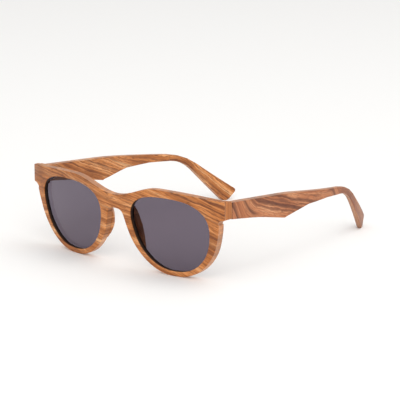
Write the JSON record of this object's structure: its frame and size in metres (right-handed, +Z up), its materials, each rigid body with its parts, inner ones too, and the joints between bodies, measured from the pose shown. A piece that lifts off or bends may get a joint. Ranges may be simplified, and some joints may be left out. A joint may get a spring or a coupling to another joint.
{
  "type": "wooden sunglasses",
  "caption": "Wooden sunglasses with a wrapped laminated front, tinted lenses and bent temples that fold on sprung hinges.",
  "frame": {"origin": "on the table, under the middle of the open glasses' overall box", "axes": "+X towards the wearer's left, +Y back along the temples, +Z up; the front faces -Y"},
  "size_m": [0.14, 0.1626, 0.0482],
  "materials": {
    "figured_wood": "satin, reddish brown with dark streaks along the grain",
    "grey_lens": "gloss, neutral grey tint",
    "hinge_steel": "brushed",
    "screw_steel": "polished heads",
    "spring_steel": "drawn wire",
    "collar_brass": "turned"
  },
  "bodies": {
    "front": {"front_frame": "figured_wood", "lens_left": "grey_lens", "lens_right": "grey_lens", "nose_pad_left": "figured_wood", "nose_pad_right": "figured_wood", "hinge_leaf_left": "hinge_steel", "hinge_leaf_right": "hinge_steel", "leaf_screws_left": "screw_steel", "leaf_screws_right": "screw_steel", "pivot_screw_left": "screw_steel", "pivot_screw_right": "screw_steel"},
    "left_slider": {"hinge_slider_left": "hinge_steel", "spring_collar_left": "collar_brass", "hinge_spring_left": "spring_steel"},
    "left_temple": {"temple_left": "figured_wood", "spring_housing_left": "hinge_steel", "housing_screws_left": "screw_steel"},
    "right_slider": {"hinge_slider_right": "hinge_steel", "spring_collar_right": "collar_brass", "hinge_spring_right": "spring_steel"},
    "right_temple": {"temple_right": "figured_wood", "spring_housing_right": "hinge_steel", "housing_screws_right": "screw_steel"}
  },
  "joints": [
    {"name": "left_fold", "type": "hinge", "parent": "front", "child": "left_slider", "pos_m": [0.0639, -0.06429, 0.0397], "axis": [0, 0, 1], "range_deg": [0, 85]},
    {"name": "left_draw", "type": "slide", "parent": "left_slider", "child": "left_temple", "axis": [0, 1, 0], "range_m": [0, 0.0011], "stiffness_N_per_m": 1000, "springref_m": -0.002, "deforming": ["hinge_spring_left"]},
    {"name": "right_fold", "type": "hinge", "parent": "front", "child": "right_slider", "pos_m": [-0.0639, -0.06429, 0.0397], "axis": [0, 0, -1], "range_deg": [0, 67]},
    {"name": "right_draw", "type": "slide", "parent": "right_slider", "child": "right_temple", "axis": [0, 1, 0], "range_m": [0, 0.0011], "stiffness_N_per_m": 1000, "springref_m": -0.002, "deforming": ["hinge_spring_right"]}
  ]
}
